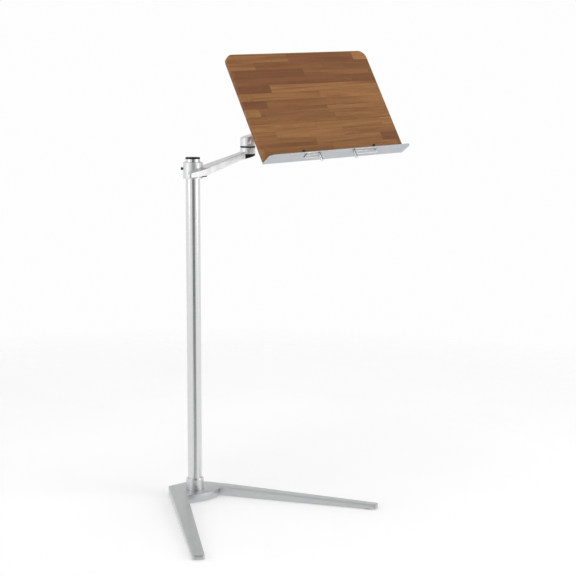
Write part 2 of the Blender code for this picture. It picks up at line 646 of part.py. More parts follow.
# ------------------------------------------------------------------------------------------------
# head: yoke on the wrist, tongue and flange behind the board
# ------------------------------------------------------------------------------------------------
def build_yoke(upper_carrier, foot_above_elbow):
    bpy.context.view_layer.update()
    wrist = upper_carrier.matrix_world @ Vector((ARM_LENGTH, 0.0, foot_above_elbow))
    carrier = frame("yoke_frame", wrist, Matrix.Rotation(BOARD_YAW, 3, "Z"))
    yoke = lathe("tilt_yoke", rod_profile(ARM_END_RADIUS, 0.0, YOKE_BASE, 0.6 * MM), "cast", steps=32)
    for side, label in ((-1, "left"), (1, "right")):
        profile = arc(0.0, TILT_AXIS_ABOVE_YOKE_FOOT, EAR_RADIUS, 180.0, 0.0, 9)
        profile += [(EAR_RADIUS, 3.0 * MM), (-EAR_RADIUS, 3.0 * MM)]
        low, high = sorted((side * EAR_INNER, side * EAR_OUTER))
        ear = prism("yoke_ear_%s" % label, profile, low, high, collection=CUTTERS)
        ear = reshape(ear, Matrix(((0, 0, 1, 0), (1, 0, 0, 0), (0, 1, 0, 0), (0, 0, 0, 1))))
        hold(ear, carrier)
        join(yoke, ear)
    cross = cutter_lathe("yoke_cross_bore", rod_profile(3.0 * MM + GAP, -30.0 * MM, 30.0 * MM), 14)
    cross = reshape(cross, Matrix.Rotation(math.radians(90.0), 4, "Y"))
    cross = reshape(cross, Matrix.Translation((0.0, 0.0, TILT_AXIS_ABOVE_YOKE_FOOT)))
    hold(cross, carrier)
    foot_bore = cutter_lathe("yoke_foot_bore", rod_profile(PIVOT_BOLT_RADIUS + GAP, -5.0 * MM, 9.0 * MM), 18)
    hold(foot_bore, carrier)
    cut(yoke, cross, foot_bore)
    hold(yoke, carrier)
    return carrier


def build_tilt_hardware(carrier):
    """Cross bolt, nut and washers on the tilt axis, all along the yoke's X."""
    along = Matrix.Translation((0.0, 0.0, TILT_AXIS_ABOVE_YOKE_FOOT)) @ Matrix.Rotation(math.pi / 2, 4, "Y")
    nut_foot = EAR_OUTER + GAP
    shank = 3.0 * MM
    profile = [(0.0, 19.0 * MM), (shank - 0.4 * MM, 19.0 * MM), (shank, 18.6 * MM), (shank, -nut_foot),
               (5.2 * MM, -nut_foot), (5.2 * MM, -nut_foot - 4.6 * MM), (4.7 * MM, -nut_foot - 5.1 * MM),
               (0.0, -nut_foot - 5.1 * MM)]
    bolt = lathe("tilt_bolt", profile, "dark", steps=20)
    key = cutter_lathe("tilt_bolt_key", rod_profile(2.3 * MM, -20.0 * MM, -nut_foot - 2.4 * MM), 6)
    cut(bolt, key)
    pieces = [reshape(bolt, along)]
    bpy.data.objects.remove(key, do_unlink=True)
    nut = prism("tilt_nut", arc(0.0, 0.0, 5.8 * MM, 0.0, 360.0, 6)[:-1], nut_foot, nut_foot + 5.0 * MM,
                "dark", holes=[arc(0.0, 0.0, shank + GAP, 0.0, 360.0, 20)[:-1]])
    pieces.append(reshape(nut, along))
    for side, label in ((-1, "left"), (1, "right")):
        low, high = sorted((side * (TONGUE_HALF + GAP), side * (EAR_INNER - GAP)))
        washer = lathe("tilt_washer_%s" % label, ring_profile(shank + GAP, 8.6 * MM, low, high),
                       "plastic", steps=24, closed=True)
        pieces.append(reshape(washer, along))
    for piece in pieces:
        hold(piece, carrier)


def board_axes():
    """Board frame in the yoke's frame: columns u across, v up the board, n out of its face."""
    tilt = Matrix.Rotation(-BOARD_TILT, 3, "X")
    upright = Matrix(((1, 0, 0), (0, 0, -1), (0, 1, 0)))
    return tilt @ upright


def build_tongue(yoke_carrier):
    """Knuckle between the ears, carrying the round flange the board spins on."""
    bpy.context.view_layer.update()
    axis = yoke_carrier.matrix_world @ Vector((0.0, 0.0, TILT_AXIS_ABOVE_YOKE_FOOT))
    turn = yoke_carrier.matrix_world.to_3x3() @ board_axes()
    carrier = frame("tilt_frame", axis, turn)
    flange = lathe("tilt_knuckle", rod_profile(FLANGE_RADIUS, FLANGE_BACK, FLANGE_FRONT, 0.6 * MM),
                   "cast", steps=32)
    outline = arc(0.0, 0.0, TONGUE_RADIUS, 180.0, 360.0, 9)
    outline += [(TONGUE_RADIUS, 10.0 * MM), (TONGUE_RADIUS + 4.0 * MM, FLANGE_BACK + 1.0 * MM),
                (-TONGUE_RADIUS - 4.0 * MM, FLANGE_BACK + 1.0 * MM), (-TONGUE_RADIUS, 10.0 * MM)]
    tongue = prism("tongue", outline, -TONGUE_HALF, TONGUE_HALF, collection=CUTTERS)
    tongue = reshape(tongue, Matrix(((0, 0, 1, 0), (1, 0, 0, 0), (0, 1, 0, 0), (0, 0, 0, 1))))
    cross = cutter_lathe("tongue_cross_bore", rod_profile(3.0 * MM + GAP, -30.0 * MM, 30.0 * MM), 14)
    cross = reshape(cross, Matrix.Rotation(math.radians(90.0), 4, "Y"))
    blind = cutter_lathe("tongue_blind_bore", rod_profile(4.0 * MM + GAP, 11.4 * MM, 40.0 * MM), 24)
    for tool in (tongue, cross, blind):
        hold(tool, carrier)
    join(flange, tongue)
    cut(flange, cross, blind)
    hold(flange, carrier)
    return carrier


def spin_frame(tilt_carrier):
    bpy.context.view_layer.update()
    turn = tilt_carrier.matrix_world.to_3x3() @ Matrix.Rotation(BOARD_SPIN, 3, "Z")
    return frame("board_frame", tilt_carrier.matrix_world.translation, turn)


def screw_solid(name, head_radius, head_height, shank_radius, length):
    """Pan-head screw: head below z=0 and shank along +Z, with a straight driver slot."""
    profile = [(0.0, length), (shank_radius, length - shank_radius), (shank_radius, 0.0), (head_radius, 0.0),
               (head_radius, -head_height * 0.45), (head_radius * 0.72, -head_height), (0.0, -head_height)]
    screw = lathe(name, profile, "steel", steps=12)
    slot = cutter_box("%s_slot" % name, (-0.45 * MM, -head_radius * 1.2, -head_height * 1.2),
                      (0.45 * MM, head_radius * 1.2, -head_height * 0.5))
    cut(screw, slot)
    return screw, slot


def build_spin_hardware(carrier):
    """Plate, friction washer, spin bolt and plate screws, along the board's normal."""
    washer = lathe("spin_washer", ring_profile(4.6 * MM, FLANGE_RADIUS, SPIN_WASHER_BACK, SPIN_WASHER_FRONT),
                   "plastic", steps=32, closed=True)
    corners = [(PLATE_HALF, PLATE_HALF), (-PLATE_HALF, PLATE_HALF), (-PLATE_HALF, -PLATE_HALF),
               (PLATE_HALF, -PLATE_HALF)]
    holes = [arc(0.0, 0.0, 4.0 * MM + GAP, 0.0, 360.0, 24)[:-1]]
    places = [(sx * PLATE_SCREW, sy * PLATE_SCREW) for sx in (-1, 1) for sy in (-1, 1)]
    for x, y in places:
        holes.append(arc(x, y, 2.0 * MM + GAP, 0.0, 360.0, 16)[:-1])
    plate = prism("board_plate", rounded(corners, [10.0 * MM] * 4), PLATE_BACK, PLATE_FRONT, "steel",
                  holes=holes)
    head_foot = BOARD_BACK
    profile = [(0.0, head_foot + 3.4 * MM), (7.0 * MM, head_foot + 3.4 * MM), (8.0 * MM, head_foot + 2.4 * MM),
               (8.0 * MM, head_foot), (4.0 * MM, head_foot), (4.0 * MM, 12.0 * MM), (0.0, 12.0 * MM)]
    bolt = lathe("spin_bolt", profile, "steel", steps=24)
    for piece in (washer, plate, bolt):
        hold(piece, carrier)
    for i, (x, y) in enumerate(places):
        screw, slot = screw_solid("plate_screw_%d" % (i + 1), 3.8 * MM, 2.4 * MM, 2.0 * MM, 9.0 * MM)
        for piece in (screw, slot):
            piece.location = (x, y, PLATE_BACK - GAP)
            hold(piece, carrier)
    return places


# ------------------------------------------------------------------------------------------------
# board, ledge and clips
# ------------------------------------------------------------------------------------------------
def build_board(carrier, plate_screws):
    """Wooden board; in this frame the spin axis is at the origin and v runs along Y."""
    low_v = -SPIN_AXIS_V
    high_v = low_v + BOARD_HEIGHT
    corners = [(BOARD_HALF, high_v), (-BOARD_HALF, high_v), (-BOARD_HALF, low_v), (BOARD_HALF, low_v)]
    outline = rounded(corners, [BOARD_TOP_CORNER, BOARD_TOP_CORNER, 2.0 * MM, 2.0 * MM], count=6)
    board = prism("board", outline, BOARD_BACK, BOARD_BACK + BOARD_THICK, "walnut")
    bevel(board, BOARD_EDGE_BEVEL, segments=1, angle=60.0)
    pocket = cutter_lathe("spin_bolt_pocket",
                          rod_profile(9.4 * MM, BOARD_BACK - 3.0 * MM, BOARD_BACK + 4.2 * MM), 20)
    hold(pocket, carrier)
    cut(board, pocket)
    pilot = [(x, y) for x, y in plate_screws]
    pilot += [(u * MM, low_v + 13.0 * MM) for u in LEDGE_SCREW_U]
    for i, (x, y) in enumerate(pilot):
        hole = cutter_lathe("pilot_%d" % (i + 1),
                            rod_profile(2.0 * MM + GAP, BOARD_BACK - 3.0 * MM, BOARD_BACK + 6.6 * MM), 10)
        hole.location = (x, y, 0.0)
        hold(hole, carrier)
        cut(board, hole)
    hold(board, carrier)


def ledge_frame(carrier):
    """Frame on the board's front bottom edge: X across, Y out of the face, Z up the board."""
    bpy.context.view_layer.update()
    origin = carrier.matrix_world @ Vector((0.0, -SPIN_AXIS_V, BOARD_BACK + BOARD_THICK))
    axes = carrier.matrix_world.to_3x3()
    turn = Matrix((axes.col[0], -axes.col[2], axes.col[1])).transposed()
    return frame("ledge_frame", origin, turn)


def clip_point(side, angle, reach):
    """Point on a clip's swing, in the ledge frame; -Y is away from the board."""
    return (side * (CLIP_PIVOT_U[side] + reach * math.cos(angle)),
            -(CLIP_PIVOT_N + reach * math.sin(angle)))


def slot_outline(side):
    """Curved slot for a clip's finger."""
    start, end = CLIP_SLOT_SWING[side]
    reach = CLIP_REACH[side]
    outer = []
    inner = []
    count = 6
    for i in range(count + 1):
        angle = start + (end - start) * i / count
        outer.append(clip_point(side, angle, reach + CLIP_SLOT_HALF))
        inner.append(clip_point(side, angle, reach - CLIP_SLOT_HALF))
    return outer + inner[::-1]


def build_ledge(carrier):
    """Folded sheet: shelf under the board with a flange screwed to its back."""
    back = BOARD_THICK + GAP + LEDGE_FLANGE_THICK
    fold = back - 0.2 * MM
    corners = [(BOARD_HALF, fold), (-BOARD_HALF, fold), (-BOARD_HALF, -LEDGE_DEPTH),
               (BOARD_HALF, -LEDGE_DEPTH)]
    outline = rounded(corners, [0.5 * MM, 0.5 * MM, LEDGE_CORNER, LEDGE_CORNER], count=6)
    shelf = prism("ledge", outline, -GAP - LEDGE_THICK, -GAP, "sheet",
                  holes=[slot_outline(-1), slot_outline(1)])
    flange = cutter_box("ledge_flange", (-BOARD_HALF + 6.0 * MM, back - LEDGE_FLANGE_THICK, -GAP - 1.0 * MM),
                        (BOARD_HALF - 6.0 * MM, back, LEDGE_FLANGE_TOP))
    hold(flange, carrier)
    join(shelf, flange)
    for i, u in enumerate(LEDGE_SCREW_U):
        hole = cutter_lathe("flange_hole_%d" % (i + 1), rod_profile(2.0 * MM + GAP, -6.0 * MM, 6.0 * MM), 16)
        hole = reshape(hole, Matrix.Rotation(math.radians(90.0), 4, "X"))
        hole.location = (u * MM, back, 13.0 * MM)
        hold(hole, carrier)
        cut(shelf, hole)
        screw, slot = screw_solid("ledge_screw_%d" % (i + 1), 3.8 * MM, 2.4 * MM, 2.0 * MM, 7.6 * MM)
        for piece in (screw, slot):
            piece.rotation_euler = (math.radians(90.0), 0.0, 0.0)
            piece.location = (u * MM, back + GAP, 13.0 * MM)
            hold(piece, carrier)
    for side in (-1, 1):
        hole = cutter_lathe("clip_hole_%s" % side_name(side),
                            rod_profile(2.0 * MM + GAP, -10.0 * MM, 10.0 * MM), 16)
        hole.location = (side * CLIP_PIVOT_U[side], -CLIP_PIVOT_N, 0.0)
        hold(hole, carrier)
        cut(shelf, hole)
    hold(shelf, carrier)


def side_name(side):
    return "left" if side < 0 else "right"


def build_clip(carrier, side):
    """Page clip: barrel with a knob under the ledge, flat lever, finger up through the slot."""
    label = side_name(side)
    reach = CLIP_REACH[side]
    pivot = (side * CLIP_PIVOT_U[side], -CLIP_PIVOT_N, 0.0)
    rest_angle = CLIP_REST_ANGLE[side]
    bpy.context.view_layer.update()
    origin = carrier.matrix_world @ Vector(pivot)
    swing = -rest_angle if side > 0 else math.pi + rest_angle
    turn = carrier.matrix_world.to_3x3() @ Matrix.Rotation(swing, 3, "Z")
    holder = frame("clip_frame_%s" % label, origin, turn)
    top = -GAP - LEDGE_THICK - GAP
    barrel = [(0.0, top), (3.6 * MM, top), (4.1 * MM, top - 0.5 * MM), (4.1 * MM, top - 11.5 * MM),
              (3.0 * MM, top - 12.0 * MM), (3.0 * MM, top - 13.2 * MM), (4.9 * MM, top - 13.8 * MM),
              (4.9 * MM, top - 18.0 * MM), (4.0 * MM, top - 19.0 * MM), (0.0, top - 19.0 * MM)]
    clip = lathe("page_clip_%s" % label, barrel, "chrome", steps=20)
    lever_outline = rounded([(0.0, -9.6 * MM), (reach + 2.2 * MM, -7.2 * MM),
                             (reach + 2.2 * MM, -1.8 * MM), (0.0, -1.8 * MM)],
                            [0.0, 2.2 * MM, 1.2 * MM, 0.0], count=4)
    lever = prism("clip_lever_%s" % label, [(x, y + top) for x, y in lever_outline],
                  -1.2 * MM, 1.2 * MM, collection=CUTTERS)
    lever = reshape(lever, Matrix.Rotation(math.radians(90.0), 4, "X"))
    finger = cutter_lathe("clip_finger_%s" % label,
                          rod_profile(CLIP_FINGER_RADIUS, top - 6.0 * MM, 6.6 * MM), 12)
    finger.location.x = reach
    bore = cutter_lathe("clip_bore_%s" % label, rod_profile(2.0 * MM + GAP, top - 7.6 * MM, 10.0 * MM), 16)
    for tool in (lever, finger, bore):
        hold(tool, holder)
    join(clip, lever, finger)
    cut(clip, bore)
    hold(clip, holder)
    tip = lathe("clip_tip_%s" % label,
                [(0.0, 9.4 * MM), (2.4 * MM, 9.4 * MM), (3.2 * MM, 8.6 * MM), (3.2 * MM, 1.0 * MM),
                 (CLIP_FINGER_RADIUS + GAP, 1.0 * MM), (CLIP_FINGER_RADIUS + GAP, 7.0 * MM), (0.0, 7.0 * MM)],
                "rubber", steps=20)
    tip.location.x = reach
    hold(tip, holder)
    screw, slot = screw_solid("clip_screw_%s" % label, 3.8 * MM, 1.8 * MM, 2.0 * MM, 8.4 * MM)
    for piece in (screw, slot):
        piece.rotation_euler = (math.pi, 0.0, 0.0)
        piece.location = pivot
        hold(piece, carrier)


def main():
    build_base()
    build_pole()
    lower, foot = build_lower_arm()
    upper, head_foot = build_upper_arm(lower, foot)
    yoke = build_yoke(upper, head_foot)
    build_tilt_hardware(yoke)
    tilt = build_tongue(yoke)
    board = spin_frame(tilt)
    screws = build_spin_hardware(board)
    build_board(board, screws)
    ledge = ledge_frame(board)
    build_ledge(ledge)
    build_clip(ledge, -1)
    build_clip(ledge, 1)


main()
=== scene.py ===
"""Bible stand: finishes, the lower arm's tongue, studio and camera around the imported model."""

import math

import bmesh
import bpy
from mathutils import Matrix, Vector


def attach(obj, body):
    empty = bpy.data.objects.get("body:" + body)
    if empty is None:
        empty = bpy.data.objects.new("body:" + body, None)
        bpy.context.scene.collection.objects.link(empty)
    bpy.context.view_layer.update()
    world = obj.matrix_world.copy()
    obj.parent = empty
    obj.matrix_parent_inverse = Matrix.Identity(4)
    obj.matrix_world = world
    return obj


MM = 0.001
SMOOTH_ANGLE = math.radians(32.0)
WELD_DISTANCE = 0.002 * MM
BEVEL_SAMPLES = 6
EDGE_GAIN = 6.0

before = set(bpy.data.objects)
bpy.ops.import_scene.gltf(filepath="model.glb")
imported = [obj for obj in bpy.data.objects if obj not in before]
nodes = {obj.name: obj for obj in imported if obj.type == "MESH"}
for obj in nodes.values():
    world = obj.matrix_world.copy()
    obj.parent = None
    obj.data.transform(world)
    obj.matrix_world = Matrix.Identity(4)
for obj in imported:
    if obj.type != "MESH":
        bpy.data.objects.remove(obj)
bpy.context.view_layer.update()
scene = bpy.context.scene

# ---------------------------------------------------------------- frames of the part, at rest, in metres

BOARD_ORIGIN = Vector((0.291747, -0.0438622, 0.87451))
BOARD_AXES = (
    Vector((0.994115, -0.101289, 0.038428)),
    Vector((0.021528, 0.532351, 0.84625)),
    Vector((-0.106173, -0.840442, 0.531399)),
)


def frame_matrix(origin, axes):
    """Matrix of a local frame from its origin and its three unit axes."""
    turn = Matrix((axes[0], axes[1], axes[2])).transposed()
    return Matrix.Translation(origin) @ turn.to_4x4()


BOARD_TURN = frame_matrix(BOARD_ORIGIN, BOARD_AXES).to_euler("XYZ")


# ---------------------------------------------------------------- node building

class Nodes:
    """A short way to write a node tree."""

    def __init__(self, tree):
        self.tree = tree
        self.tree.nodes.clear()

    def node(self, kind, links=None, **settings):
        """Adds a node. Links maps an input's name or number to a value or to another node's socket."""
        made = self.tree.nodes.new("ShaderNode" + kind)
        for key, value in settings.items():
            setattr(made, key, value)
        for key, value in (links or {}).items():
            if isinstance(value, bpy.types.NodeSocket):
                self.tree.links.new(value, made.inputs[key])
            else:
                made.inputs[key].default_value = value
        return made

    def spread(self, value, low, high, to_low=0.0, to_high=1.0):
        """Maps low..high to to_low..to_high, held at the ends."""
        made = self.node(
            "MapRange",
            {"Value": value, "From Min": low, "From Max": high, "To Min": to_low, "To Max": to_high},
        )
        return made.outputs[0]

    def math(self, operation, a, b=0.0):
        """One sum on two values."""
        return self.node("Math", {0: a, 1: b}, operation=operation).outputs[0]

    def blend(self, factor, a, b, mode="MIX"):
        """Colour a turning into colour b, or combined with it in another mode."""
        return self.node("Mix", {0: factor, 6: a, 7: b}, data_type="RGBA", blend_type=mode).outputs[2]

    def ramp(self, value, stops):
        """Colour that runs through the stops, each a position and a colour."""
        made = self.node("ValToRGB", {0: value})
        elements = made.color_ramp.elements
        while len(elements) < len(stops):
            elements.new(0.5)
        for element, (at, colour) in zip(elements, stops):
            element.position = at
            element.color = colour
        return made.outputs["Color"]


class Graph(Nodes):
    """The nodes of a new material."""

    def __init__(self, name):
        self.material = bpy.data.materials.new(name)
        self.material.use_nodes = True
        super().__init__(self.material.node_tree)
        self.output = self.node("OutputMaterial")

    def place(self, origin=(0.0, 0.0, 0.0), turn=(0.0, 0.0, 0.0), scale=(1.0, 1.0, 1.0)):
        """Coordinates in metres in a local frame of the part, stretched by scale."""
        coordinates = self.node("TexCoord").outputs["Object"]
        local = self.node(
            "Mapping",
            {"Vector": coordinates, "Location": origin, "Rotation": turn},
            vector_type="TEXTURE",
        )
        return self.node("Mapping", {"Vector": local.outputs[0], "Scale": scale}).outputs[0]

    def noise(self, vector, scale, detail=3.0, roughness=0.5, distortion=0.0):
        """Smooth noise from 0 to 1."""
        links = {"Vector": vector, "Scale": scale, "Detail": detail, "Roughness": roughness}
        return self.node("TexNoise", {**links, "Distortion": distortion}).outputs["Fac"]

    def soft_normal(self, radius):
        """Normal rounded over radius at an edge."""
        return self.node("Bevel", {"Radius": radius}, samples=BEVEL_SAMPLES).outputs[0]

    def edges(self, radius):
        """1 on an edge or corner within radius, 0 on the flat."""
        soft = self.soft_normal(radius)
        true = self.node("NewGeometry").outputs["Normal"]
        level = self.node("VectorMath", {0: soft, 1: true}, operation="DOT_PRODUCT").outputs["Value"]
        return self.spread(self.math("SUBTRACT", 1.0, level), 0.0, 1.0 / EDGE_GAIN)

    def bump(self, height, strength, distance, normal=None):
        """Normal bumped by height, over another normal if one is given."""
        links = {"Height": height, "Strength": strength, "Distance": distance}
        if normal is not None:
            links["Normal"] = normal
        return self.node("Bump", links).outputs[0]

    def shader(self, **inputs):
        """Ends the material in a Principled shader; an input's spaces are written as underscores."""
        made = self.node("BsdfPrincipled")
        for key, value in inputs.items():
            name = key.replace("_", " ")
            if isinstance(value, bpy.types.NodeSocket):
                self.tree.links.new(value, made.inputs[name])
            else:
                made.inputs[name].default_value = value
        self.tree.links.new(made.outputs[0], self.output.inputs[0])
        return self.material


def grey(level, warm=0.0):
    """A grey, made warmer by a small share of red."""
    return (level * (1.0 + warm), level, level * (1.0 - warm), 1.0)


# ---------------------------------------------------------------- finishes
# Each finish's colours: its darker and lighter base, its patches, and the colour painted on its edges as a
# highlight.

COAT_DARK = (0.50, 0.508, 0.510, 1)
COAT_LIGHT = (0.60, 0.608, 0.610, 1)
COAT_PATCH = (0.44, 0.448, 0.452, 1)
COAT_EDGE_HIGHLIGHT = (0.86, 0.865, 0.87, 1)
TUBE_DARK = (0.66, 0.665, 0.668, 1)
TUBE_LIGHT = (0.74, 0.745, 0.748, 1)
TUBE_PATCH = (0.58, 0.585, 0.59, 1)
TUBE_EDGE_HIGHLIGHT = grey(0.93)
CAST_DARK = (0.66, 0.665, 0.668, 1)
CAST_LIGHT = (0.76, 0.765, 0.768, 1)
CAST_PATCH = (0.60, 0.606, 0.612, 1)
CAST_EDGE_HIGHLIGHT = grey(0.95)
SHEET_DARK = (0.45, 0.465, 0.485, 1)
SHEET_LIGHT = (0.56, 0.578, 0.60, 1)
SHEET_PATCH = (0.41, 0.425, 0.445, 1)
SHEET_EDGE_HIGHLIGHT = (0.88, 0.885, 0.89, 1)
WOOD_FIGURE = (0.150, 0.052, 0.017, 1)
WOOD_DARK_FIBRE = (0.11, 0.038, 0.013, 1)
WOOD_LIGHT_FIBRE = (0.46, 0.235, 0.118, 1)
WOOD_PORE = (0.065, 0.022, 0.010, 1)
WOOD_GLUE = (0.075, 0.024, 0.011, 1)
WOOD_EDGE_HIGHLIGHT = (0.50, 0.275, 0.145, 1)


def silver_coat(name):
    """Fine silver powder coat: tiny flakes, a light orange peel and edges painted a little brighter as a
    highlight, broken up like wear.
    """
    g = Graph(name)
    flat = g.place()
    flakes = g.noise(flat, 2600.0, 1.0, 0.5)
    cloud = g.noise(flat, 9.0, 3.0, 0.55)
    edge = g.edges(1.1 * MM)
    base = g.blend(g.spread(flakes, 0.35, 0.68), COAT_DARK, COAT_LIGHT)
    base = g.blend(g.spread(cloud, 0.3, 0.7, 0.0, 0.16), base, COAT_PATCH)
    # Painted highlight: the edges painted brighter, broken up by noise like chipped wear.
    highlight_and_chips = g.math("MULTIPLY", edge, g.spread(g.noise(flat, 420.0, 4.0, 0.7), 0.42, 0.6))
    colour = g.blend(g.math("MULTIPLY", highlight_and_chips, 0.75), base, COAT_EDGE_HIGHLIGHT)
    rough = g.spread(g.noise(flat, 60.0, 4.0, 0.6), 0.3, 0.7, 0.34, 0.46)
    peel = g.noise(flat, 900.0, 2.0, 0.5)
    normal = g.bump(peel, 0.22, 0.05 * MM, g.soft_normal(0.9 * MM))
    return g.shader(Base_Color=colour, Metallic=0.8, Roughness=rough, Normal=normal)


def drawn_tube(name, rough_low=0.17, rough_high=0.24):
    """Satin anodised tube: faint die lines along its length, soft handling marks and a bright sheen."""
    g = Graph(name)
    lines = g.noise(g.place(scale=(1900.0, 1900.0, 3.0)), 1.0, 3.0, 0.6)
    wide = g.noise(g.place(scale=(260.0, 260.0, 1.2)), 1.0, 2.0, 0.5)
    smear = g.noise(g.place(), 14.0, 4.0, 0.6)
    base = g.blend(g.spread(lines, 0.3, 0.7), TUBE_DARK, TUBE_LIGHT)
    base = g.blend(g.spread(smear, 0.35, 0.75, 0.0, 0.14), base, TUBE_PATCH)
    # Painted highlight: the edges painted brighter.
    colour = g.blend(g.math("MULTIPLY", g.edges(0.8 * MM), 0.6), base, TUBE_EDGE_HIGHLIGHT)
    sheen = g.spread(wide, 0.3, 0.7, rough_low, rough_high)
    rough = g.math("ADD", sheen, g.spread(smear, 0.4, 0.7, 0.0, 0.05))
    normal = g.bump(lines, 0.05, 0.008 * MM)
    return g.shader(Base_Color=colour, Metallic=0.9, Roughness=rough, Normal=normal)


def blasted_casting(name):
    """Die casting, bead blasted and silver coated: a fine grain and a few faint flow marks."""
    g = Graph(name)
    flat = g.place()
    grain = g.noise(flat, 1700.0, 2.0, 0.6)
    flow = g.noise(flat, 32.0, 4.0, 0.55, 0.6)
    base = g.blend(g.spread(grain, 0.35, 0.68), CAST_DARK, CAST_LIGHT)
    base = g.blend(g.spread(flow, 0.4, 0.72, 0.0, 0.2), base, CAST_PATCH)
    # Painted highlight: the edges painted brighter, broken up by noise like rubbed wear.
    edge_highlight_spread = g.spread(g.noise(flat, 300.0, 3.0, 0.7), 0.35, 0.6, 0.25, 0.9)
    highlight_and_wear = g.math("MULTIPLY", g.edges(1.0 * MM), edge_highlight_spread)
    colour = g.blend(highlight_and_wear, base, CAST_EDGE_HIGHLIGHT)
    rough = g.math("ADD", g.spread(grain, 0.3, 0.7, 0.30, 0.38), g.spread(flow, 0.35, 0.7, 0.0, 0.07))
    normal = g.bump(grain, 0.12, 0.02 * MM, g.soft_normal(1.0 * MM))
    return g.shader(Base_Color=colour, Metallic=0.78, Roughness=rough, Normal=normal)


def brushed_sheet(name):
    """Bent aluminium sheet, brushed along its length, with edges painted bright as a highlight and small
    scuffs.
    """
    g = Graph(name)
    brush = g.noise(g.place(BOARD_ORIGIN, BOARD_TURN, (14.0, 2600.0, 2600.0)), 1.0, 4.0, 0.65)
    broad = g.noise(g.place(BOARD_ORIGIN, BOARD_TURN, (5.0, 240.0, 240.0)), 1.0, 2.0, 0.5)
    smear = g.noise(g.place(BOARD_ORIGIN, BOARD_TURN), 26.0, 4.0, 0.6)
    base = g.blend(g.spread(brush, 0.3, 0.72), SHEET_DARK, SHEET_LIGHT)
    base = g.blend(g.spread(smear, 0.45, 0.75, 0.0, 0.2), base, SHEET_PATCH)
    # Painted highlight: the edges painted brighter.
    colour = g.blend(g.math("MULTIPLY", g.edges(0.7 * MM), 0.8), base, SHEET_EDGE_HIGHLIGHT)
    rough = g.math("ADD", g.spread(broad, 0.3, 0.7, 0.32, 0.42), g.spread(smear, 0.4, 0.7, 0.0, 0.07))
    normal = g.bump(brush, 0.14, 0.02 * MM, g.soft_normal(0.5 * MM))
    return g.shader(Base_Color=colour, Metallic=0.75, Roughness=rough, Normal=normal)


def turned_steel(name, level, metallic=1.0, roughness=(0.22, 0.34), grain=1300.0):
    """Machined steel: fine tool marks, a slight oil bloom and corners painted bright as a highlight."""
    g = Graph(name)
    flat = g.place()
    marks = g.noise(g.place(scale=(grain, grain, grain * 0.25)), 1.0, 4.0, 0.6)
    bloom = g.noise(flat, 70.0, 3.0, 0.55)
    base = g.blend(g.spread(marks, 0.3, 0.7), grey(level * 0.84), grey(level))
    base = g.blend(g.spread(bloom, 0.45, 0.75, 0.0, 0.25), base, grey(level * 0.72, 0.02))
    # Painted highlight: the corners painted brighter.
    bright = min(level * 1.45 + 0.06, 0.95)
    colour = g.blend(g.math("MULTIPLY", g.edges(0.4 * MM), 0.7), base, grey(bright))
    rough = g.spread(bloom, 0.3, 0.7, roughness[0], roughness[1])
    normal = g.bump(marks, 0.10, 0.02 * MM, g.soft_normal(0.3 * MM))
    return g.shader(Base_Color=colour, Metallic=metallic, Roughness=rough, Normal=normal)


def moulded(name, colour_low, colour_high, roughness, grain=1500.0, depth=0.05 * MM, specular=0.45):
    """Moulded plastic or rubber with a spark-eroded grain, and edges painted lighter as a highlight and made
    smoother.
    """
    g = Graph(name)
    flat = g.place()
    pits = g.node("TexVoronoi", {"Vector": flat, "Scale": grain}).outputs["Distance"]
    dust = g.noise(flat, 45.0, 5.0, 0.65)
    base = g.blend(g.spread(dust, 0.35, 0.7), colour_low, colour_high)
    # Painted highlight: the edges painted lighter; the roughness is also lowered there.
    shine = g.edges(0.6 * MM)
    lift = tuple(min(c * 1.8 + 0.02, 1.0) for c in colour_high[:3]) + (1.0,)
    colour = g.blend(g.math("MULTIPLY", shine, 0.5), base, lift)
    dull = g.spread(dust, 0.3, 0.7, roughness[0], roughness[1])
    rough = g.math("SUBTRACT", dull, g.math("MULTIPLY", shine, 0.12))
    normal = g.bump(pits, 0.25, depth, g.soft_normal(0.4 * MM))
    return g.shader(Base_Color=colour, Roughness=rough, Normal=normal, Specular_IOR_Level=specular)


STRIP_HEIGHT = 19.6 * MM
STRIP_LENGTH = 187.0 * MM
GLUE_LINE = 0.45 * MM
# Added to board coordinates so that every strip's number is positive, in metres.
ROWS_FROM = 0.2
COLUMNS_FROM = 0.6
# How far one strip's grain lies from another's, in metres.
GRAIN_SHIFT = 3.0
STRIP_TONES = (
    (0.0, (0.205, 0.078, 0.028, 1)),
    (0.12, (0.262, 0.108, 0.038, 1)),
    (0.40, (0.325, 0.142, 0.046, 1)),
    (0.75, (0.372, 0.172, 0.056, 1)),
    (1.0, (0.420, 0.200, 0.068, 1)),
)


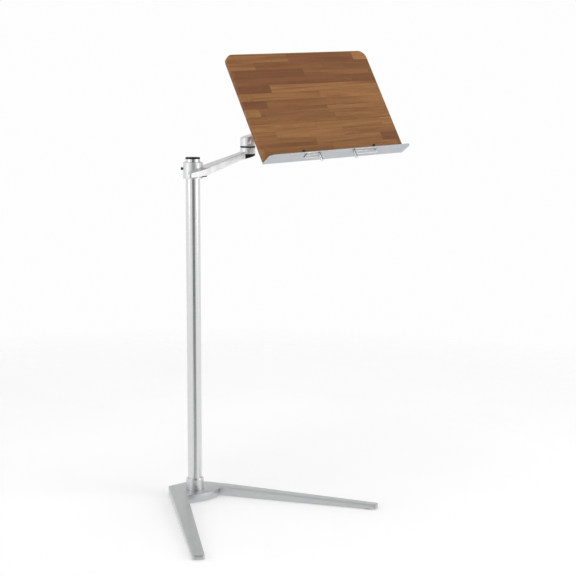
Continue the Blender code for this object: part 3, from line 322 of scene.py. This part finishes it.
def laminated_wood(name):
    """Edge-glued strips along the board's width, each with its own tone, and satin oil over open grain."""
    g = Graph(name)
    local = g.place(BOARD_ORIGIN, BOARD_TURN)
    along, up = g.node("SeparateXYZ", {0: local}).outputs[:2]
    row = g.math("DIVIDE", g.math("ADD", up, ROWS_FROM), STRIP_HEIGHT)
    row_id = g.math("FLOOR", row)
    row_part = g.math("FRACT", row)
    shift = g.node("TexWhiteNoise", {"W": row_id}, noise_dimensions="1D").outputs["Value"]
    column = g.math("ADD", g.math("DIVIDE", g.math("ADD", along, COLUMNS_FROM), STRIP_LENGTH), shift)
    column_id = g.math("FLOOR", column)
    column_part = g.math("FRACT", column)
    cell = g.node("CombineXYZ", {0: row_id, 1: column_id})
    tone_node = g.node("TexWhiteNoise", {"Vector": cell.outputs[0]}, noise_dimensions="2D")
    own = {0: tone_node.outputs["Color"], "Scale": GRAIN_SHIFT}
    offset = g.node("VectorMath", own, operation="SCALE").outputs[0]

    def in_strip(scale):
        """Board coordinates moved to the strip's own piece of wood, stretched by scale."""
        moved = g.node("VectorMath", {0: local, 1: offset}, operation="ADD").outputs[0]
        return g.node("Mapping", {"Vector": moved, "Scale": scale}).outputs[0]

    figure = g.noise(in_strip((5.0, 95.0, 95.0)), 1.0, 4.0, 0.6, 0.9)
    fibre = g.noise(in_strip((26.0, 1500.0, 1500.0)), 1.0, 3.0, 0.7)
    pores = g.noise(in_strip((60.0, 2600.0, 2600.0)), 1.0, 2.0, 0.5)
    base = g.ramp(tone_node.outputs["Value"], STRIP_TONES)
    base = g.blend(g.spread(figure, 0.40, 0.72, 0.0, 0.70), base, WOOD_FIGURE)
    base = g.blend(g.spread(fibre, 0.30, 0.70, 0.0, 0.34), base, WOOD_DARK_FIBRE)
    base = g.blend(g.spread(fibre, 0.55, 0.80, 0.0, 0.35), base, WOOD_LIGHT_FIBRE)
    pore_mask = g.spread(pores, 0.60, 0.70)
    base = g.blend(g.math("MULTIPLY", pore_mask, 0.5), base, WOOD_PORE)

    def joint(part, length):
        """1 on the glue line at a strip's edge."""
        edge = g.math("MINIMUM", part, g.math("SUBTRACT", 1.0, part))
        return g.spread(g.math("MULTIPLY", edge, length), 0.0, GLUE_LINE, 1.0, 0.0)

    glue = g.math("MAXIMUM", joint(row_part, STRIP_HEIGHT), joint(column_part, STRIP_LENGTH))
    base = g.blend(g.math("MULTIPLY", glue, 0.62), base, WOOD_GLUE)
    # Painted highlight: the edges painted lighter.
    edge = g.edges(1.4 * MM)
    colour = g.blend(g.math("MULTIPLY", edge, 0.42), base, WOOD_EDGE_HIGHLIGHT)
    rough = g.math("ADD", g.spread(figure, 0.3, 0.7, 0.40, 0.50), g.math("MULTIPLY", pore_mask, 0.14))
    height = g.math("SUBTRACT", g.math("MULTIPLY", fibre, 0.35), g.math("MAXIMUM", glue, pore_mask))
    normal = g.bump(height, 0.28, 0.06 * MM, g.soft_normal(1.2 * MM))
    return g.shader(
        Base_Color=colour,
        Roughness=rough,
        Normal=normal,
        Specular_IOR_Level=0.22,
        Coat_Weight=0.06,
        Coat_Roughness=0.35,
    )


FINISHES = {
    "base_coat": silver_coat("silver_powder_coat"),
    "pole_metal": drawn_tube("satin_anodised_tube"),
    "cast_metal": blasted_casting("blasted_casting"),
    "sheet_metal": brushed_sheet("brushed_sheet"),
    "fastener_steel": turned_steel("turned_steel", 0.62),
    "dark_fastener": turned_steel("blackened_steel", 0.055, 0.6, (0.36, 0.5)),
    "bright_plate": turned_steel("bright_plating", 0.88, 1.0, (0.07, 0.14), 500.0),
    "black_plastic": moulded("black_plastic", grey(0.006), grey(0.014), (0.38, 0.5), 1500.0, 0.03 * MM, 0.25),
    "liner_nylon": moulded("natural_nylon", grey(0.50, 0.03), grey(0.62, 0.03), (0.45, 0.55)),
    "black_rubber": moulded("black_rubber", grey(0.018), grey(0.035), (0.62, 0.78), 900.0, 0.08 * MM, 0.3),
    "board_wood": laminated_wood("laminated_board"),
}


def smooth_shading():
    """Joins a node's facets and shades them round, keeping every edge sharper than the limit crisp."""
    tree = bpy.data.node_groups.new("smooth_by_edge_angle", "GeometryNodeTree")
    tree.interface.new_socket("Geometry", in_out="INPUT", socket_type="NodeSocketGeometry")
    tree.interface.new_socket("Geometry", in_out="OUTPUT", socket_type="NodeSocketGeometry")
    make = tree.nodes.new
    start = make("NodeGroupInput")
    end = make("NodeGroupOutput")
    weld = make("GeometryNodeMergeByDistance")
    weld.inputs["Distance"].default_value = WELD_DISTANCE
    plain = make("GeometryNodeRemoveAttribute")
    plain.inputs["Name"].default_value = "custom_normal"
    angle = make("GeometryNodeInputMeshEdgeAngle")
    sharp = make("FunctionNodeCompare")
    sharp.operation = "GREATER_THAN"
    sharp.inputs[1].default_value = SMOOTH_ANGLE

    def shade(domain, smooth):
        made = make("GeometryNodeSetShadeSmooth")
        made.domain = domain
        made.inputs["Shade Smooth"].default_value = smooth
        return made

    faces = shade("FACE", True)
    clear = shade("EDGE", True)
    crisp = shade("EDGE", False)
    join = tree.links.new
    join(start.outputs[0], weld.inputs["Geometry"])
    join(weld.outputs[0], plain.inputs["Geometry"])
    join(plain.outputs[0], faces.inputs["Geometry"])
    join(faces.outputs[0], clear.inputs["Geometry"])
    join(clear.outputs[0], crisp.inputs["Geometry"])
    join(angle.outputs["Unsigned Angle"], sharp.inputs[0])
    join(sharp.outputs[0], crisp.inputs["Selection"])
    join(crisp.outputs[0], end.inputs[0])
    return tree


def finish_nodes():
    """Gives every CAD node the finish of its slot and smooth shading."""
    tree = smooth_shading()
    for node in nodes.values():
        slot = node.material_slots[0].name.split(".")[0]
        for held in node.material_slots:
            held.material = FINISHES[slot]
        node.modifiers.new("smooth_shading", "NODES").node_group = tree
    for held in nodes["pole_sleeve"].material_slots:
        held.material = drawn_tube("satin_sleeve", 0.30, 0.38)


finish_nodes()


# ---------------------------------------------------------------- arm tongue

LOWER_ARM_ORIGIN = Vector((0.0, 0.0, 0.7185))
LOWER_ARM_ANGLE = math.atan2(-0.068015, 0.997684)
# Slopes of the arm's underside, and of the tongue's top behind and in front of TONGUE_JOIN.
ARM_RISE = 0.287
ARM_TOP_RISE = ARM_RISE - 0.017
TONGUE_RISE = 0.166
TONGUE_TOP = 18.7
TONGUE_JOIN = 10.0
# The underside in mm: its lowest level, the climb out from under the collar, and the arm's own underside.
FOOT_LOWEST = 4.2
FOOT_CLIMB = 0.22
FOOT_CLIMB_FROM = (12.0, 6.4)
FOOT_UNDER_ARM = 1.0
TONGUE_BEVEL = 1.0 * MM
# Stations along the tongue in the lower arm's plan, in mm: outer point, inner point, rise of the inner edge.
TONGUE_STATIONS = (
    ((45.0, -19.6), (45.0, -18.6), 0.0),
    ((30.0, -21.8), (30.0, -20.2), 0.0),
    ((18.0, -23.35), (18.0, -19.0), 2.6),
    ((10.0, -24.4), (10.0, -18.0), 8.3),
    ((2.0, -25.4), (3.0, -20.0), 8.8),
    ((-6.0, -26.3), (-3.5, -19.7), 9.0),
    ((-14.0, -27.3), (-9.0, -17.9), 7.8),
    ((-19.5, -27.9), (-12.0, -16.0), 6.4),
    ((-23.0, -27.6), (-14.0, -14.3), 5.0),
    ((-25.6, -26.0), (-15.3, -13.0), 3.8),
    ((-26.7, -23.5), (-16.3, -11.6), 2.2),
    ((-25.8, -20.5), (-17.0, -10.4), 0.8),
    ((-18.5, -9.8), (-17.6, -9.4), 0.0),
)


def tongue_top(x):
    """Level of the tongue's top over the collar's foot, in mm: the arm's own slope, then a gentler one."""
    if x < TONGUE_JOIN:
        return TONGUE_TOP + TONGUE_RISE * (x - TONGUE_JOIN)
    return TONGUE_TOP + ARM_TOP_RISE * (x - TONGUE_JOIN)


def tongue_foot(x):
    """Level of the tongue's underside, in mm: level round the collar, then climbing with the arm."""
    start, level = FOOT_CLIMB_FROM
    return max(FOOT_LOWEST, level + FOOT_CLIMB * (x - start), FOOT_UNDER_ARM + ARM_RISE * x)


def arm_tongue():
    """Front of the lower arm, which runs past the collar and ends in a rounded tongue."""
    verts = []
    for outer, inner, rise in TONGUE_STATIONS:
        for (x, y), lift in ((outer, 0.0), (inner, rise)):
            verts.append((x * MM, y * MM, (tongue_top(x) + lift) * MM))
            verts.append((x * MM, y * MM, tongue_foot(x) * MM))
    faces = []
    last = len(TONGUE_STATIONS) - 1
    for step in range(last):
        a = 4 * step
        b = a + 4
        faces += [(a, b, b + 2, a + 2), (a + 1, a + 3, b + 3, b + 1)]
        faces += [(a, a + 1, b + 1, b), (a + 2, b + 2, b + 3, a + 3)]
    faces += [(0, 2, 3, 1), (4 * last, 4 * last + 1, 4 * last + 3, 4 * last + 2)]
    mesh = bpy.data.meshes.new("lower_arm_tongue")
    mesh.from_pydata(verts, [], faces)
    mesh.validate()
    shape = bmesh.new()
    shape.from_mesh(mesh)
    bmesh.ops.recalc_face_normals(shape, faces=shape.faces)
    shape.to_mesh(mesh)
    shape.free()
    made = bpy.data.objects.new("lower_arm_tongue", mesh)
    scene.collection.objects.link(made)
    made.matrix_world = Matrix.Translation(LOWER_ARM_ORIGIN) @ Matrix.Rotation(LOWER_ARM_ANGLE, 4, "Z")
    made.modifiers.new("smooth_shading", "NODES").node_group = bpy.data.node_groups["smooth_by_edge_angle"]
    soft = made.modifiers.new("rounded_edges", "BEVEL")
    soft.width = TONGUE_BEVEL
    soft.segments = 2
    soft.harden_normals = True
    soft.limit_method = "ANGLE"
    soft.angle_limit = SMOOTH_ANGLE
    mesh.materials.append(FINISHES["cast_metal"])
    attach(made, "arm_1")


arm_tongue()


# ---------------------------------------------------------------- studio

FLOOR_HEIGHT = -0.0002
FLOOR_RINGS = (1.0, 2.0, 4.0, 8.0)
FLOOR_STEPS = 64
FLOOR_FADE = (0.9, 2.1)
FLOOR_GLOW = 0.11


def floor():
    """A pale floor, faintly mottled, that fades into the white studio between the two fade radii."""
    mesh = bpy.data.meshes.new("studio_floor")
    verts = [(0.0, 0.0, FLOOR_HEIGHT)]
    faces = []
    for ring in FLOOR_RINGS:
        for step in range(FLOOR_STEPS):
            turn = 2.0 * math.pi * step / FLOOR_STEPS
            verts.append((ring * math.cos(turn), ring * math.sin(turn), FLOOR_HEIGHT))
    for step in range(FLOOR_STEPS):
        after = (step + 1) % FLOOR_STEPS
        faces.append((0, 1 + step, 1 + after))
        for ring in range(len(FLOOR_RINGS) - 1):
            inner = 1 + ring * FLOOR_STEPS
            outer = inner + FLOOR_STEPS
            faces.append((inner + step, outer + step, outer + after, inner + after))
    mesh.from_pydata(verts, [], faces)
    made = bpy.data.objects.new("studio_floor", mesh)
    scene.collection.objects.link(made)
    g = Graph("pale_floor")
    mottle = g.noise(g.place(), 3.0, 3.0, 0.5)
    colour = g.blend(g.spread(mottle, 0.3, 0.7), grey(0.93), grey(0.95))
    far = g.node("VectorMath", {0: g.place()}, operation="LENGTH").outputs["Value"]
    alpha = g.spread(far, FLOOR_FADE[0], FLOOR_FADE[1], 1.0, 0.0)
    mesh.materials.append(
        g.shader(
            Base_Color=colour,
            Roughness=0.9,
            Specular_IOR_Level=0.1,
            Alpha=alpha,
            Emission_Color=grey(1.0),
            Emission_Strength=FLOOR_GLOW,
        )
    )
    made.visible_glossy = False


def softbox(name, at, target, size, power):
    """Rectangular area light at a place, turned towards target."""
    light = bpy.data.lights.new(name, "AREA")
    light.shape = "RECTANGLE"
    light.size = size[0]
    light.size_y = size[1]
    light.energy = power
    made = bpy.data.objects.new(name, light)
    scene.collection.objects.link(made)
    made.location = at
    made.rotation_euler = (Vector(target) - Vector(at)).to_track_quat("-Z", "Y").to_euler()
    return made


# The photograph's camera: its place in metres, lens in mm, and its angles. The last two turn its level frame
# into the part's.
CAMERA_AT = Vector((-1.7954, -2.3513, 0.9318))
FOCAL_LENGTH = 84.375
SENSOR_WIDTH = 36.0
CAMERA_HEADING = math.radians(4.0446)
CAMERA_DROP = math.radians(8.759)
CAMERA_ROLL = math.radians(0.199)
PLAN_COS = 0.7948
PLAN_SIN = 0.6069


def to_part(x, y, z):
    """A direction in the camera's level frame, turned into the part's frame."""
    return Vector((PLAN_COS * x + PLAN_SIN * y, -PLAN_SIN * x + PLAN_COS * y, z)).normalized()


VIEW = to_part(
    math.sin(CAMERA_HEADING) * math.cos(CAMERA_DROP),
    math.cos(CAMERA_HEADING) * math.cos(CAMERA_DROP),
    -math.sin(CAMERA_DROP),
)
LEVEL_RIGHT = VIEW.cross(Vector((0.0, 0.0, 1.0))).normalized()
LEVEL_UP = LEVEL_RIGHT.cross(VIEW)


def camera():
    """Camera at the photograph's viewing angle."""
    right = math.cos(CAMERA_ROLL) * LEVEL_RIGHT + math.sin(CAMERA_ROLL) * LEVEL_UP
    up = -math.sin(CAMERA_ROLL) * LEVEL_RIGHT + math.cos(CAMERA_ROLL) * LEVEL_UP
    data = bpy.data.cameras.new("camera")
    data.lens = FOCAL_LENGTH
    data.sensor_width = SENSOR_WIDTH
    data.dof.use_dof = False
    made = bpy.data.objects.new("camera", data)
    scene.collection.objects.link(made)
    made.matrix_world = frame_matrix(CAMERA_AT, (right, up, -VIEW))
    scene.camera = made


# The dark band behind the camera: how far it is turned to the right, its darkness against the cosine of the
# angle from its middle, and the heights of the direction between which it begins.
BAND_SWING = math.radians(12.0)
BAND_DARKNESS = ((0.0, grey(0.0)), (0.90, grey(0.0)), (0.955, grey(0.84)), (1.0, grey(0.88)))
BAND_FOOT = (-0.31, -0.27)
# The heights of the direction between which the studio darkens, and how bright it is overhead.
DARKENS_FROM = 0.25
DARKENS_TO = 0.95
OVERHEAD = 0.40
BACKDROP = grey(0.985)


def surroundings():
    """White studio with one darker stretch behind the camera, which draws the dark line on round metal."""
    world = bpy.data.worlds.new("white_studio")
    scene.world = world
    world.use_nodes = True
    w = Nodes(world.node_tree)
    east, north, height = w.node("SeparateXYZ", {0: w.node("TexCoord").outputs["Generated"]}).outputs
    level = w.node("CombineXYZ", {0: east, 1: north}).outputs[0]
    unit = w.node("VectorMath", {0: level}, operation="NORMALIZE").outputs[0]
    back = Vector((-VIEW.x, -VIEW.y, 0.0)).normalized()
    side = Vector((LEVEL_RIGHT.x, LEVEL_RIGHT.y, 0.0)).normalized()
    middle = math.cos(BAND_SWING) * back + math.sin(BAND_SWING) * side
    facing = w.node("VectorMath", {0: unit, 1: middle}, operation="DOT_PRODUCT").outputs["Value"]
    band = w.math("MULTIPLY", w.ramp(facing, BAND_DARKNESS), w.spread(height, *BAND_FOOT))
    sky = w.spread(height, DARKENS_FROM, DARKENS_TO, 1.0, OVERHEAD)
    shade = w.blend(1.0, w.math("SUBTRACT", 1.0, band), sky, "MULTIPLY")
    seen = w.node("LightPath").outputs["Is Camera Ray"]
    glow = w.node("Background", {0: w.blend(seen, shade, BACKDROP), "Strength": 1.0})
    w.node("OutputWorld", {0: glow.outputs[0]})


floor()
camera()
surroundings()
softbox("front_light", at=(1.9, -3.1, 1.5), target=(0.1, 0.0, 0.6), size=(1.6, 2.4), power=26.0)
softbox("left_light", at=(-3.4, 0.6, 1.4), target=(0.1, 0.0, 0.4), size=(1.4, 2.2), power=15.0)
overhead = softbox("floor_light", at=(0.1, 0.0, 3.6), target=(0.1, 0.0, 0.0), size=(3.0, 3.0), power=46.0)
overhead.visible_glossy = False

scene.view_settings.view_transform = "Standard"
